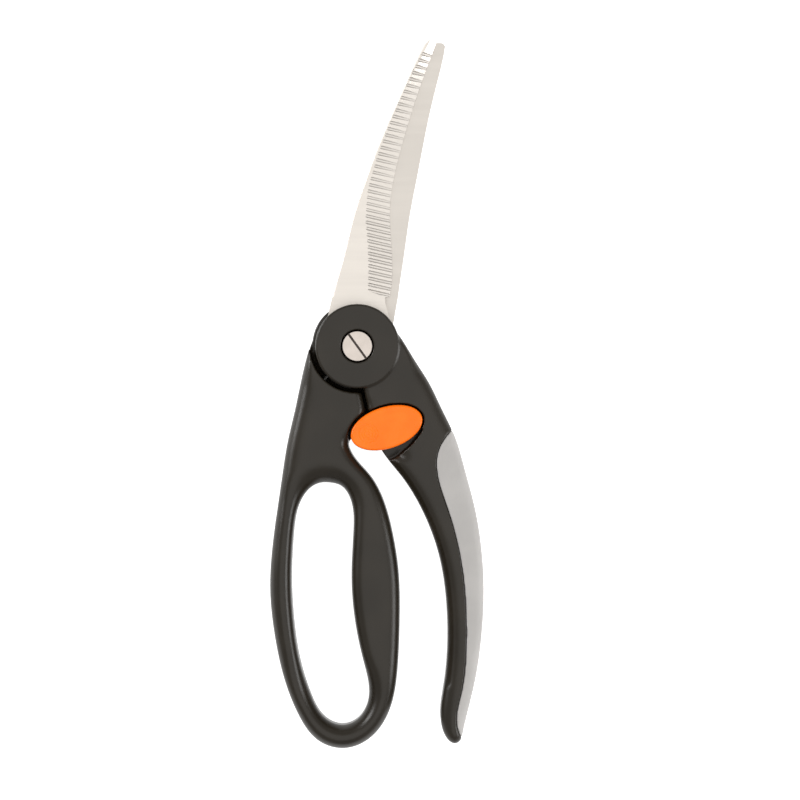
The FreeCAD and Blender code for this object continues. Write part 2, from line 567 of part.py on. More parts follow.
def opening_spring():
    coil = wire_helix(SPRING_PITCH, SPRING_TURNS, SPRING_MEAN_RADIUS, SPRING_WIRE, SPRING_LOW,
                      SPRING_LEG_ANGLE)
    end_angle = SPRING_LEG_ANGLE + 360 * SPRING_TURNS
    legs = []
    for angle, z, reach in ((SPRING_LEG_ANGLE, SPRING_LOW, SPRING_LEG_REACH),
                            (end_angle, SPRING_HIGH, SPRING_ANCHOR_REACH)):
        elbow = polar(SPRING_MEAN_RADIUS, angle, z)
        length = reach - SPRING_MEAN_RADIUS
        legs.append(Part.makeCylinder(SPRING_WIRE / 2, length, elbow, polar(1, angle)))
        legs.append(Part.makeSphere(SPRING_WIRE / 2, elbow))
    return coil.fuse(legs)


# ---- thumb lock ---------------------------------------------------------------------------------
def lock_button():
    cap = prism(button_face(0), BUTTON_BACK, BUTTON_FRONT)
    cap = rounded(cap, BUTTON_EDGE_ROUND, BUTTON_FRONT)
    shoulder = rod(LOCK_SCREW_RADIUS, 0, SHOULDER_END, LOCK_PIVOT)
    thread = rod(LOCK_THREAD_RADIUS, 0, SHOULDER_END + LOCK_THREAD_LENGTH, LOCK_PIVOT)
    return cap.cut([shoulder, thread])


def lock_hook():
    """The steel plate under the button, with the nose that holds the catch pin."""
    half = HOOK_WIDTH / 2
    nose = HOOK_END + HOOK_NOSE_WIDTH
    bar = corner_face([along_button(LOCK_PIVOT_OFFSET, half), along_button(LOCK_PIVOT_OFFSET, -half),
                       along_button(HOOK_END + 3 * HOOK_NOSE_WIDTH, -half),
                       along_button(HOOK_END, -HOOK_NOSE_WIDTH), along_button(HOOK_END, HOOK_NOSE),
                       along_button(nose, HOOK_NOSE), along_button(nose + HOOK_NOSE_WIDTH, HOOK_NOSE / 2),
                       along_button(nose + 3 * HOOK_NOSE_WIDTH, half)])
    plate = prism(bar, HOOK_BACK, BUTTON_BACK)
    plate = plate.fuse(rod(half, HOOK_BACK, BUTTON_BACK, LOCK_PIVOT)).removeSplitter()
    return plate.cut(rod(LOCK_SCREW_RADIUS, 0, STACK_HEIGHT, LOCK_PIVOT))


def lock_screw():
    seat = LOCK_HEAD_TOP - RUNNING_CLEARANCE
    head = rod(LOCK_HEAD_RADIUS, LOCK_HEAD_BOTTOM, seat, LOCK_PIVOT)
    head = rounded(head, LOCK_HEAD_ROUND, LOCK_HEAD_BOTTOM)
    shoulder = rod(LOCK_SCREW_RADIUS, seat, SHOULDER_END, LOCK_PIVOT)
    thread = rod(LOCK_THREAD_RADIUS, SHOULDER_END, SHOULDER_END + LOCK_THREAD_LENGTH, LOCK_PIVOT)
    slot_length = 3 * LOCK_HEAD_RADIUS
    slot = Part.makeBox(slot_length, LOCK_SLOT_WIDTH, LOCK_HEAD_BOTTOM + LOCK_SLOT_DEPTH,
                        vec(LOCK_PIVOT[0] - slot_length / 2, LOCK_PIVOT[1] - LOCK_SLOT_WIDTH / 2, 0))
    return head.fuse([shoulder, thread]).removeSplitter().cut(slot)


def catch_pin():
    return rod(CATCH_RADIUS, CATCH_TOP - CATCH_LENGTH, CATCH_TOP, CATCH_AT)


def detent_ball():
    return Part.makeSphere(BALL_RADIUS, vec(BALL_AT[0], BALL_AT[1], BALL_CENTRE))


def detent_spring():
    low = BALL_HOLE_FLOOR + BALL_SPRING_WIRE / 2
    height = BALL_CENTRE - BALL_RADIUS - BALL_SPRING_WIRE / 2 - low
    coil = wire_helix(height / BALL_SPRING_TURNS, BALL_SPRING_TURNS, BALL_RADIUS - BALL_SPRING_WIRE,
                      BALL_SPRING_WIRE, low, 0)
    coil.translate(vec(*BALL_AT))
    return coil


def build():
    blade_front = front_blade()
    blade_rear = rear_blade()
    limb = lever_limb()
    return {
        "loop_handle": loop_handle(blade_rear),
        "rear_blade": blade_rear,
        "pivot_screw": pivot_screw(),
        "pivot_nut": pivot_nut(),
        "spring_washer": spring_washer(),
        "catch_pin": catch_pin(),
        "lever_handle": lever_handle(limb, blade_front),
        "soft_grip": soft_grip(limb),
        "front_blade": blade_front,
        "pivot_bush": pivot_bush(),
        "opening_spring": opening_spring(),
        "detent_ball": detent_ball(),
        "detent_spring": detent_spring(),
        "lock_button": lock_button(),
        "lock_hook": lock_hook(),
        "lock_screw": lock_screw(),
    }


os.makedirs("parts", exist_ok=True)
for name, shape in build().items():
    print(f"{name}: {len(shape.Solids)} solid, {shape.Volume:.1f} mm3, valid {shape.isValid()}")
    shape.exportStep(f"parts/{name}.step")
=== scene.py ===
# %% [markdown]
# # Poultry shears
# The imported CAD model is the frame: every blade, screw and handle in it is already in its real place.
# We load it, note its box, and then give each piece its finish, or a finer shape where a cast or moulded
# surface deserves one. All lengths in Blender are metres, so a small constant turns millimetres into them.

# %% Load the frame
import json
import math

import bpy
import numpy as np
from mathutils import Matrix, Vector
from mathutils.kdtree import KDTree


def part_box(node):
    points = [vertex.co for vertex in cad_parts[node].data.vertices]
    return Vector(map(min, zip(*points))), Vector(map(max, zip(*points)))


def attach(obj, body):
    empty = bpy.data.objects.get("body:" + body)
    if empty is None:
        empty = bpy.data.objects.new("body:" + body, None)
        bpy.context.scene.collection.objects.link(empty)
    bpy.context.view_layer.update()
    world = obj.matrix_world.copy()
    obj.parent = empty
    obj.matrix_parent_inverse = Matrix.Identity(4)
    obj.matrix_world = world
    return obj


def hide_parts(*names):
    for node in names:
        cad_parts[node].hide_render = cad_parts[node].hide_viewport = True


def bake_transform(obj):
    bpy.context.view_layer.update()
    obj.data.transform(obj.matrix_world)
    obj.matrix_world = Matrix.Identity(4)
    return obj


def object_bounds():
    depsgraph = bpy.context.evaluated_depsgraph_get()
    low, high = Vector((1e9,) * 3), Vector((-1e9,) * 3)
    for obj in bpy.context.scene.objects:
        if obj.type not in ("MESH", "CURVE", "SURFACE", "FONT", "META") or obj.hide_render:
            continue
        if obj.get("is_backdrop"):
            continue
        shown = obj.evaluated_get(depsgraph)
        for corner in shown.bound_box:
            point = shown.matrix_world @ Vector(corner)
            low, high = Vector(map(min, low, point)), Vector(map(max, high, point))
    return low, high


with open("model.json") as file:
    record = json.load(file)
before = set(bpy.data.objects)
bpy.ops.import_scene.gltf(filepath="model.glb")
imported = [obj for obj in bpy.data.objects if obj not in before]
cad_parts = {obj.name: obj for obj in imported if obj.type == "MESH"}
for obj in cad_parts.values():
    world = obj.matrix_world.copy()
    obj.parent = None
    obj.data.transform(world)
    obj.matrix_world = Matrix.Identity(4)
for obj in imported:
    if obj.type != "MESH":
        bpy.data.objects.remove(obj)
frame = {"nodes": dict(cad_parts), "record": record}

MM = 0.001
cad_box = [list(corner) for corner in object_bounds()]
nodes = frame["nodes"]
print("CAD box in mm:", [[round(v / MM, 1) for v in corner] for corner in cad_box])

# %% [markdown]
# ## Small helpers
# An operator acts on whatever is selected. So one helper clears the selection and picks a single object,
# and another applies a modifier as soon as it is added, as a modeller does before going on.

# %% Selection and modifiers
def pick(piece):
    """Make one object the only selected and active one."""
    bpy.ops.object.select_all(action="DESELECT")
    piece.select_set(True)
    bpy.context.view_layer.objects.active = piece
    return piece


def apply_modifier(piece, kind, **settings):
    """Add a modifier with its settings and apply it at once."""
    pick(piece)
    modifier = piece.modifiers.new(kind.title(), kind)
    for key, value in settings.items():
        setattr(modifier, key, value)
    bpy.ops.object.modifier_apply(modifier=modifier.name)


def settle(piece):
    """Put an object's place, turn and scale into its mesh."""
    pick(piece)
    bpy.ops.object.transform_apply(location=True, rotation=True, scale=True)
    return piece


def points_of(piece):
    """The mesh's points as an array, in metres."""
    flat = np.empty(len(piece.data.vertices) * 3)
    piece.data.vertices.foreach_get("co", flat)
    return flat.reshape(-1, 3)


def move_points(piece, points):
    """Put an array of points back into the mesh."""
    piece.data.vertices.foreach_set("co", points.ravel())
    piece.data.update()


def smooth_step(value, low, high):
    """0 below low, 1 above high, smooth between."""
    share = np.clip((value - low) / (high - low), 0, 1)
    return share * share * (3 - 2 * share)


print("CAD nodes:", len(nodes))

# %% [markdown]
# ## Camera, floor and light
# The shears lie flat and are seen from straight above, so the camera looks down the pivot axis. A long
# lens from over a metre away keeps the perspective weak. The pivot sits up and to the left of the frame's
# centre. A wide softbox overhead gives flat faces an even sheen and leaves the rolled edges darker. Two
# smaller ones at the sides put a thin line of light along each rim, and a pale room fills the rest.

# %% Camera
FIELD_WIDTH = 0.283
CAMERA_DISTANCE = 1.15
VIEW_CENTRE = (0.0150, -0.0189)
SENSOR = 36.0
low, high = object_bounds()
mid_height = (low[2] + high[2]) / 2
camera_data = bpy.data.cameras.new("camera")
camera_data.sensor_width = SENSOR
camera_data.lens = SENSOR * CAMERA_DISTANCE / FIELD_WIDTH
camera = bpy.data.objects.new("camera", camera_data)
camera.location = (*VIEW_CENTRE, mid_height + CAMERA_DISTANCE)
bpy.context.collection.objects.link(camera)
bpy.context.scene.camera = camera
print("lens in mm:", round(camera_data.lens, 1))

# %% [markdown]
# The floor is one wide plane just under the shears, a hair lower than where they rest, so that the two
# surfaces never share a height.

# %% Floor
FLOOR_SIZE = 4.0
FLOOR_GAP = 0.0002
bpy.ops.object.select_all(action="DESELECT")
bpy.ops.mesh.primitive_plane_add(size=FLOOR_SIZE, location=(0, 0, -FLOOR_GAP))
floor = settle(bpy.context.active_object)
floor.name = "floor"
floor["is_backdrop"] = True
print("floor below the shears, in mm:", FLOOR_GAP / MM)

# %% [markdown]
# Every softbox is the same thing at another place, so one function makes them all. A square area light
# shines along its own -Z, so it is turned until that axis points at its aim.

# %% Lights
def softbox(name, place, aim, size, power, colour=(1.0, 1.0, 1.0)):
    """A square area light at a place, turned to a point, with its size in metres and power in watts."""
    data = bpy.data.lights.new(name, "AREA")
    data.shape = "SQUARE"
    data.size = size
    data.energy = power
    data.color = colour
    light = bpy.data.objects.new(name, data)
    light.location = place
    light.rotation_euler = (Vector(aim) - Vector(place)).to_track_quat("-Z", "Y").to_euler()
    bpy.context.collection.objects.link(light)


SHEARS_MIDDLE = (0.0, -0.02, 0.0)
OVERHEAD_COLOUR = (1.0, 0.99, 0.965)
softbox("overhead", place=(0.3, 0.0, 1.5), aim=(0.3, 0.0, 0.0), size=1.9, power=12.5, colour=OVERHEAD_COLOUR)
softbox("key", place=(-1.0, 0.40, 0.42), aim=SHEARS_MIDDLE, size=0.5, power=8.0)
softbox("fill", place=(1.0, -0.15, 0.42), aim=SHEARS_MIDDLE, size=0.5, power=5.0)

# %% Light from all round
ROOM_COLOUR = (1.0, 0.995, 0.985, 1.0)
ROOM_STRENGTH = 0.6
world = bpy.data.worlds.new("studio")
world.use_nodes = True
background = world.node_tree.nodes["Background"]
background.inputs["Color"].default_value = ROOM_COLOUR
background.inputs["Strength"].default_value = ROOM_STRENGTH
bpy.context.scene.world = world
bpy.context.scene.view_settings.view_transform = "Standard"
print("lights:", [light.name for light in bpy.data.lights], "room strength:", ROOM_STRENGTH)

# %% [markdown]
# ## Shader sums as plain expressions
# A procedural finish is mostly arithmetic on patterns. Wrapping a socket in a small class lets us write
# `0.24 + grain * 0.05` and get Math nodes, so a material reads like the formula it is.

# %% A socket that can be added and multiplied
class Value:
    """One output socket, with the sums that the finishes below use."""

    def __init__(self, finish, socket):
        self.finish = finish
        self.socket = socket

    def math(self, operation, first, second):
        return self.finish.node("ShaderNodeMath", {"operation": operation}, first, second)

    def __add__(self, other):
        return self.math("ADD", self, other)

    def __radd__(self, other):
        return self.math("ADD", other, self)

    def __mul__(self, other):
        return self.math("MULTIPLY", self, other)

    def __rmul__(self, other):
        return self.math("MULTIPLY", other, self)

    def band(self, low, high):
        """0 below low, 1 above high, smooth between."""
        settings = {"interpolation_type": "SMOOTHSTEP", "clamp": True}
        return self.finish.node("ShaderNodeMapRange", settings, self, low, high, 0.0, 1.0)


# %% [markdown]
# One more class holds a material while it is made. It adds nodes, feeds their sockets, and gives each
# pattern that the finishes share a short name: a place on the piece, a noise, a colour blend, a bump.

# %% A material under construction
SHADER_NAMES = {"roughness": "Roughness", "metallic": "Metallic", "ior": "IOR",
                "glow": "Emission Strength"}


class Finish:
    """A material while it is made: its node tree and its Principled shader."""

    def __init__(self, name, **fixed):
        self.material = bpy.data.materials.new(name)
        self.material.use_nodes = True
        self.tree = self.material.node_tree
        self.shader = self.tree.nodes["Principled BSDF"]
        for key, value in fixed.items():
            self.shader.inputs[SHADER_NAMES[key]].default_value = value

    def node(self, kind, settings=None, *inputs, output=0, **named):
        """Add a node, set it, feed its sockets, and return one of its outputs."""
        made = self.tree.nodes.new(kind)
        for key, value in (settings or {}).items():
            setattr(made, key, value)
        feeds = list(enumerate(inputs)) + [(key.replace("_", " "), value) for key, value in named.items()]
        for key, value in feeds:
            if isinstance(value, Value):
                self.tree.links.new(value.socket, made.inputs[key])
            else:
                made.inputs[key].default_value = value
        return Value(self, made.outputs[output])

    def place(self, scale=(1, 1, 1), turn=(0, 0, 0)):
        """The point on the object, in its own coordinates, stretched and turned."""
        where = self.node("ShaderNodeTexCoord", output="Object")
        return self.node("ShaderNodeMapping", None, where, Rotation=turn, Scale=scale)

    def noise(self, where, scale, detail=2.0):
        """A cloudy pattern from 0 to 1, with scale its repeats in a metre."""
        return self.node("ShaderNodeTexNoise", None, output="Fac", Vector=where, Scale=scale, Detail=detail)

    def mix(self, share, first, second):
        """Blend two colours."""
        made = self.tree.nodes.new("ShaderNodeMix")
        made.data_type = "RGBA"
        for key, value in (("Factor_Float", share), ("A_Color", first), ("B_Color", second)):
            socket = next(s for s in made.inputs if s.identifier == key)
            if isinstance(value, Value):
                self.tree.links.new(value.socket, socket)
            else:
                socket.default_value = value
        return Value(self, next(s for s in made.outputs if s.identifier == "Result_Color"))

    def feed(self, name, value):
        """Link a value to a socket of the shader."""
        self.tree.links.new(value.socket, self.shader.inputs[name])

    def bump(self, height, distance, strength=1.0):
        """Turn a height pattern into a tilted normal."""
        normal = self.node("ShaderNodeBump", None, Strength=strength, Distance=distance, Height=height)
        self.feed("Normal", normal)


def colour(red, green, blue):
    """An opaque colour."""
    return (red, green, blue, 1.0)


print("shader settings that a finish can fix:", ", ".join(SHADER_NAMES))

# %% [markdown]
# ## Finishes
# Each finish is worked out from the point on the piece, so it needs no picture and no unwrapping, and it
# moves with the piece. The handles are glass-filled nylon: nearly black, slightly warm, with the fine
# spark-eroded grain of the mould. A fine noise makes that grain, and two wider ones vary tone and gloss.

# %% Black moulded plastic
def black_plastic():
    finish = Finish("black_plastic", roughness=0.30, ior=1.37)
    where = finish.place()
    grain = finish.noise(where, scale=3200.0, detail=3.0)
    cloud = finish.noise(where, scale=60.0)
    handled = finish.noise(where, scale=240.0, detail=4.0)
    tone = finish.mix(cloud.band(0.3, 0.7), colour(0.0120, 0.0090, 0.0052), colour(0.0160, 0.0122, 0.0076))
    finish.feed("Base Color", tone)
    finish.feed("Roughness", 0.24 + handled * 0.10 + grain * 0.05)
    finish.bump(grain, distance=0.06 * MM, strength=0.35)
    return finish.material


BLACK = black_plastic()
print("made:", BLACK.name)

# %% [markdown]
# The grip is a soft matt rubber. It is rougher than the plastic all over, so light spreads on it and its
# edge shows no sharp line.

# %% Grey soft rubber
def grey_rubber():
    finish = Finish("grey_rubber", roughness=0.6, ior=1.45)
    where = finish.place()
    grain = finish.noise(where, scale=2600.0, detail=3.0)
    cloud = finish.noise(where, scale=90.0, detail=3.0)
    tone = finish.mix(cloud.band(0.25, 0.75), colour(0.352, 0.340, 0.330), colour(0.387, 0.374, 0.363))
    finish.feed("Base Color", tone)
    finish.feed("Roughness", 0.52 + grain * 0.16)
    finish.bump(grain, distance=0.08 * MM, strength=0.4)
    return finish.material


GREY = grey_rubber()
print("made:", GREY.name)

# %% [markdown]
# The button is a glossier plastic of a strong, even orange. Its rings are modelled, so the finish only
# adds a slight unevenness.

# %% Orange polished plastic
def orange_plastic():
    finish = Finish("orange_plastic", roughness=0.3, ior=1.33)
    where = finish.place()
    cloud = finish.noise(where, scale=160.0)
    grain = finish.noise(where, scale=1500.0)
    tone = finish.mix(cloud.band(0.3, 0.7), colour(0.92, 0.146, 0.0), colour(0.95, 0.164, 0.003))
    finish.feed("Base Color", tone)
    finish.feed("Roughness", 0.24 + grain * 0.12)
    finish.bump(grain, distance=0.03 * MM, strength=0.2)
    return finish.material


ORANGE = orange_plastic()
print("made:", ORANGE.name)

# %% [markdown]
# The blades are ground, and the wheel leaves fine scratches across them. A noise that is squeezed far
# more one way than the other gives such lines. The rear blade is a darker copy of the same steel: painted
# shade, for it lies below the front one. Where the handles cover the blades, the steel is painted near
# black as the shade in the gaps between the parts.

# %% Ground blade steel
GRIND_ANGLE = math.radians(-12.0)
# Painted shade: the blades turn near black below this level along them, where they lie in the gaps between
# the handles.
PAINTED_SHADE_END = 3.0 * MM
STEEL = (0.575, 0.540, 0.502)
DULL_SHARE = 0.96
# The rear blade's colour is scaled down by this share as painted shade.
REAR_PAINTED_SHADE = 0.86


def blade_steel(name, shade):
    """Ground steel, its colour scaled by shade as painted shade. Its hidden heel and tang are painted near
    black as shade.
    """
    finish = Finish(name, metallic=1.0, roughness=0.34)
    across = finish.place(scale=(60, 2600, 400), turn=(0, 0, GRIND_ANGLE))
    scratches = finish.noise(across, scale=1.0, detail=4.0)
    wide = finish.place(scale=(12, 260, 60), turn=(0, 0, GRIND_ANGLE))
    streaks = finish.noise(wide, scale=1.0, detail=3.0)
    where = finish.place()
    cloud = finish.noise(where, scale=45.0, detail=3.0)
    dull = colour(*(DULL_SHARE * part * shade for part in STEEL))
    bright = colour(*(part * shade for part in STEEL))
    ground = finish.mix(streaks.band(0.3, 0.7), dull, bright)
    along = finish.node("ShaderNodeSeparateXYZ", None, where, output=1)
    # Below the level the colour is near black: painted shade.
    finish.feed("Base Color", finish.mix(along.band(0.0, PAINTED_SHADE_END), colour(0.022, 0.020, 0.019), ground))
    finish.feed("Roughness", 0.27 + scratches * 0.16 + cloud * 0.08)
    finish.bump(scratches, distance=0.02 * MM, strength=0.45)
    return finish.material


FRONT_STEEL = blade_steel("front_blade_steel", 1.0)
REAR_STEEL_SHADED = blade_steel("rear_blade_steel", REAR_PAINTED_SHADE)
print("made:", FRONT_STEEL.name, REAR_STEEL_SHADED.name)

# %% [markdown]
# The screws, nut, pin and washer are turned, so their scratches are circles, which a ring pattern round
# the pivot axis draws. The small steel parts of the lock take the same finish. On the pivot screw, shade is
# painted: below a level near its top face, in its slot and down its sides, the steel turns dark brown.

# %% Turned steel
NO_PAINTED_SHADE = -1.0
# The pivot screw is painted dark brown as shade below this level.
SCREW_PAINTED_SHADE_LEVEL = 18.9 * MM
PAINTED_SHADE_FADE = 0.5 * MM


def turned_steel(name, painted_shade_level):
    """Steel faced on a lathe, its scratches circles round the pivot axis, with painted shade below a level.
    """
    finish = Finish(name, metallic=1.0, roughness=0.3)
    where = finish.place()
    settings = {"wave_type": "RINGS", "rings_direction": "Z", "wave_profile": "SAW"}
    rings = finish.node("ShaderNodeTexWave", settings, Vector=where, Scale=900.0, Distortion=1.5, Detail=2.0)
    dirt = finish.noise(where, scale=300.0, detail=4.0)
    tone = finish.mix(dirt.band(0.35, 0.7), colour(0.45, 0.405, 0.37), colour(0.495, 0.445, 0.41))
    height = finish.node("ShaderNodeSeparateXYZ", None, where, output=2)
    unshaded_share = height.band(painted_shade_level - PAINTED_SHADE_FADE, painted_shade_level)
    # Painted shade: below the level, in the slot and round the head's side, the steel turns dark brown.
    finish.feed("Base Color", finish.mix(unshaded_share, colour(0.06, 0.05, 0.045), tone))
    finish.feed("Roughness", 0.24 + rings * 0.10 + dirt * 0.10)
    finish.bump(rings, distance=0.01 * MM, strength=0.4)
    return finish.material


TURNED = turned_steel("turned_steel", NO_PAINTED_SHADE)
SCREW = turned_steel("pivot_screw_steel", SCREW_PAINTED_SHADE_LEVEL)
print("made:", TURNED.name, SCREW.name)

# %% [markdown]
# Spring wire is blackened by its heat treatment, and drawn, so its marks run long. Its near-black
# colour also stands as painted shade where its leg crosses the gap between the handles. The bearing
# sleeve is nylon without a dye, a creamy white.

# %% Blackened spring wire and natural nylon
def spring_wire():
    finish = Finish("spring_wire", metallic=1.0, roughness=0.45)
    marks = finish.noise(finish.place(scale=(1, 1, 6)), scale=900.0, detail=3.0)
    # The near-black colour is the wire's blackened finish, and also painted shade for its leg in the gap.
    finish.feed("Base Color", finish.mix(marks, colour(0.050, 0.048, 0.046), colour(0.085, 0.082, 0.078)))
    finish.feed("Roughness", 0.38 + marks * 0.2)
    finish.bump(marks, distance=0.02 * MM, strength=0.3)
    return finish.material


def natural_nylon():
    finish = Finish("natural_nylon", roughness=0.45, ior=1.5)
    marks = finish.noise(finish.place(), scale=700.0, detail=3.0)
    finish.feed("Base Color", finish.mix(marks, colour(0.74, 0.72, 0.66), colour(0.82, 0.80, 0.75)))
    finish.feed("Roughness", 0.38 + marks * 0.15)
    finish.bump(marks, distance=0.03 * MM, strength=0.3)
    return finish.material


WIRE = spring_wire()
NYLON = natural_nylon()
print("made:", WIRE.name, NYLON.name)

# %% [markdown]
# The floor is a plain white sheet lit from below, as on a light table: it glows, so that the shears
# throw hardly any shadow on it.

# %% White studio floor
def studio_white():
    finish = Finish("studio_white", roughness=0.7, glow=1.6)
    speckle = finish.noise(finish.place(), scale=8.0)
    white = finish.mix(speckle, colour(0.58, 0.58, 0.58), colour(0.60, 0.60, 0.60))
    finish.feed("Base Color", white)
    finish.feed("Emission Color", white)
    return finish.material


floor.data.materials.append(studio_white())
print("made:", floor.data.materials[0].name)

# %% [markdown]
# ## Pieces that keep their CAD shape
# Blades and hardware are cut and turned parts: their CAD shape is their real shape, so they only take a
# finish. A CAD node's faces all share the one slot.

# %% Finish the steel parts and the bush
KEPT = {"front_blade": FRONT_STEEL, "rear_blade": REAR_STEEL_SHADED, "pivot_screw": SCREW, "pivot_nut": TURNED,
        "spring_washer": TURNED, "catch_pin": TURNED, "pivot_bush": NYLON, "detent_ball": TURNED,
        "detent_spring": WIRE, "lock_hook": TURNED, "lock_screw": TURNED}
for name, material in KEPT.items():
    mesh = nodes[name].data
    mesh.materials.clear()
    mesh.materials.append(material)
print("kept as CAD:", ", ".join(KEPT))

# %% [markdown]
# ## Handles
# A moulded handle has no flat top. It is crowned: highest along the middle of each limb, and rolling
# over towards every edge, most of all where the fingers press into the loop. We take a merged copy of the
# CAD solid, turn it into an even skin with a voxel remesh, and then lower each point by how near it is to
# the handle's outline. Smoothing at the end gives every edge the soft radius of a mould.

# %% An even skin from a CAD solid
FINE = 0.4 * MM
MEDIUM = 0.46 * MM
MERGE = 0.001 * MM


def even_skin(name, node, voxel):
    """A merged, evenly meshed copy of a CAD node."""
    piece = bpy.data.objects.new(name, nodes[node].data.copy())
    bpy.context.collection.objects.link(piece)
    pick(piece)
    piece.data.materials.clear()
    bpy.ops.object.mode_set(mode="EDIT")
    bpy.ops.mesh.select_all(action="SELECT")
    bpy.ops.mesh.remove_doubles(threshold=MERGE)
    bpy.ops.object.mode_set(mode="OBJECT")
    apply_modifier(piece, "REMESH", mode="VOXEL", voxel_size=voxel)
    print(name, "skin:", len(piece.data.polygons), "faces")
    return piece


print("voxel sizes in mm:", FINE / MM, MEDIUM / MM)

# %% [markdown]
# The outline is read from the skin itself: points whose normals lie nearly flat, in a thin band at one
# height, are on an upright wall. A tree of those points then gives every other point its distance.

# %% Distance from the outline
WALL_SLOPE = 0.35
BAND_HALF = 0.6 * MM


def wall_points(piece, level):
    """Points of the upright walls at one height, with the way each wall faces."""
    normals = np.empty(len(piece.data.vertices) * 3)
    piece.data.vertices.foreach_get("normal", normals)
    normals = normals.reshape(-1, 3)
    points = points_of(piece)
    upright = (np.abs(normals[:, 2]) < WALL_SLOPE) & (np.abs(points[:, 2] - level) < BAND_HALF)
    return points[upright], normals[upright]


def distance_to(points, outline):
    """How far each point is from the outline, seen from above."""
    tree = KDTree(len(outline))
    for index, (x, y, _) in enumerate(outline):
        tree.insert((x, y, 0.0), index)
    tree.balance()
    return np.array([tree.find((x, y, 0.0))[2] for x, y, _ in points])


def roll(distance, reach, drop):
    """Height share of a surface that rolls over within reach of an edge, losing drop at the edge."""
    inward = 1 - np.clip(distance / reach, 0, 1)
    return np.sqrt(1 - (1 - (1 - drop) ** 2) * inward ** 2)


print("an edge that loses half its height, half way in:", round(float(roll(0.5, 1.0, 0.5)), 3))

# %% [markdown]
# The round boss and the button's well are machined into the mould, so their edges stay crisp and their
# faces flat. Two masks hold them back: one from the roll, and one from most of the smoothing.

# %% Keep the boss and the well crisp
PIVOT_LEVEL = mid_height
BOSS_KEEP = 17.0 * MM
BOSS_FREE = 24.0 * MM
WELL_KEEP = 15.0 * MM
WELL_FREE = 19.0 * MM
CRISP_ROUNDS = 3
SMOOTHING = 0.5
button_low, button_high = (np.array(corner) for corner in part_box("lock_button"))
button_centre = (button_low + button_high) / 2


def away_from_pivot(points):
    """0 at the round boss, which stays flat, and 1 out on the handle."""
    return smooth_step(np.hypot(points[:, 0], points[:, 1]), BOSS_KEEP, BOSS_FREE)


def near_pivot(points):
    """1 round the boss and the button's well, 0 further out."""
    from_button = np.hypot(points[:, 0] - button_centre[0], points[:, 1] - button_centre[1])
    well = 1 - smooth_step(from_button, WELL_KEEP, WELL_FREE)
    return np.maximum(1 - away_from_pivot(points), well)


def soften(piece, rounds, crisp):
    """Smooth the skin all over for a few rounds, then more where crisp is 0."""
    apply_modifier(piece, "SMOOTH", factor=SMOOTHING, iterations=CRISP_ROUNDS)
    group = piece.vertex_groups.new(name="soft")
    for index, weight in enumerate(1 - crisp):
        if weight > 0:
            group.add([index], float(weight), "REPLACE")
    apply_modifier(piece, "SMOOTH", factor=SMOOTHING, iterations=rounds, vertex_group="soft")
    for polygon in piece.data.polygons:
        polygon.use_smooth = True


print("button's middle in mm:", [round(v / MM, 1) for v in button_centre])

# %% [markdown]
# ### Loop handle
# The opening's walls face its middle and the outer walls face away, so the two outlines are told apart by
# their normals. The roll is deepest at the top and bottom of the opening, where a finger rests.

# %% The loop's two outlines
LOOP_WALL_LEVEL = 5.0 * MM
BOSS_CLEAR = 12.0 * MM
LOOP_BELOW = -45.0 * MM
openings = {box["name"]: np.array(box["box_m"]) for box in frame["record"]["physics"]["openings"]}
loop_low, loop_high = openings["finger_loop_upper"]
opening_middle = (loop_low + loop_high) / 2
loop_piece = even_skin("loop_handle_moulding", "loop_handle", MEDIUM)
walls, facing = wall_points(loop_piece, LOOP_WALL_LEVEL)
off_pivot = np.hypot(walls[:, 0], walls[:, 1]) > BOSS_CLEAR
inward = ((opening_middle - walls)[:, :2] * facing[:, :2]).sum(axis=1) > 0
near_loop = walls[:, 1] < LOOP_BELOW
hole = walls[inward & near_loop & off_pivot]
rim = walls[~(inward & near_loop) & off_pivot]
print("wall points:", len(hole), "round the opening,", len(rim), "round the outside")

# %% Roll the loop's edges
FINGER_START = 22.0 * MM
FINGER_END = 40.0 * MM
PLAIN_REACH = 5.0 * MM
PLAIN_DROP = 0.14
DEEP_REACH = 8.5 * MM
DEEP_DROP = 0.48
HEEL_START = 115.0 * MM
HEEL_END = 135.0 * MM
RIM_REACH = 7.0 * MM
RIM_DROP = 0.2
HEEL_DROP = 0.16
LOOP_ROUNDS = 12

skin = points_of(loop_piece)
finger_end = smooth_step(np.abs(skin[:, 1] - opening_middle[1]), FINGER_START, FINGER_END)
from_hole = distance_to(skin, hole)
from_rim = distance_to(skin, rim)
plain_roll = roll(from_hole, PLAIN_REACH, PLAIN_DROP)
deep_roll = roll(from_hole, DEEP_REACH, DEEP_DROP)
hole_roll = plain_roll * (1 - finger_end) + deep_roll * finger_end
heel_end = smooth_step(-skin[:, 1], HEEL_START, HEEL_END)
edge_drop = RIM_DROP + HEEL_DROP * heel_end
rim_roll = 1 - away_from_pivot(skin) * (1 - roll(from_rim, RIM_REACH, edge_drop))
skin[:, 2] = PIVOT_LEVEL + (skin[:, 2] - PIVOT_LEVEL) * hole_roll * rim_roll
move_points(loop_piece, skin)
soften(loop_piece, LOOP_ROUNDS, near_pivot(skin))
loop_piece.data.materials.append(BLACK)
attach(loop_piece, "loop_half")
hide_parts("loop_handle")
print("loop handle:", len(loop_piece.data.polygons), "faces")

# %% [markdown]
# ### Lever handle and soft grip
# The two are moulded together, so they share one outline: walls that both have, where rubber meets
# plastic, don't count as an edge.

